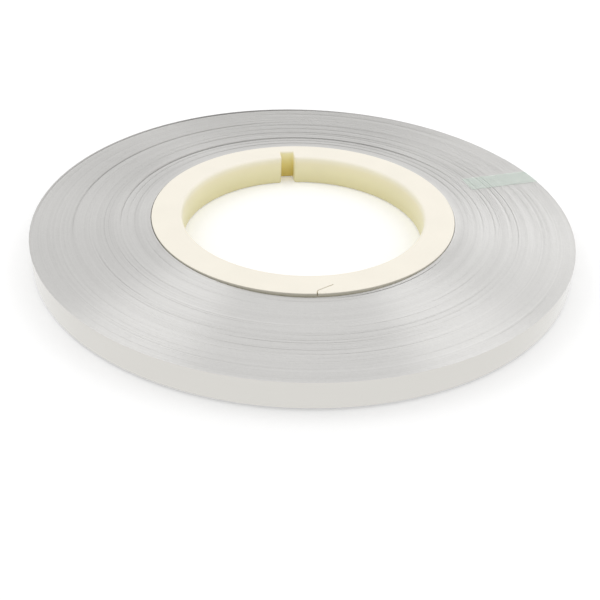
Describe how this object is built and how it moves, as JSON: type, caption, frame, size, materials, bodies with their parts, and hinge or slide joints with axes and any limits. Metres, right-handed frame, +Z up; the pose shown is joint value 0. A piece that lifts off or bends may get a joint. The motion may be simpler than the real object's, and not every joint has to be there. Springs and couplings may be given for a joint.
{
  "type": "coil of nickel strip",
  "caption": "Flat coil of bare nickel strip for joining battery cells, wound on a round plastic core with a keyed bore, its outer end held down with clear green tape.",
  "frame": {"origin": "on the axis of the bore, at the underside of the core, where the coil lies on the floor", "axes": "+Z up along the bore axis; the core's slit faces about -Y and its keyway about +Y"},
  "size_m": [0.1681, 0.1679, 0.01],
  "materials": {
    "nickel": "satin",
    "core_plastic": "matte",
    "tape_film": "gloss"
  },
  "bodies": {
    "root": {"nickel_strip": "nickel", "core": "core_plastic", "tape": "tape_film"}
  },
  "joints": []
}
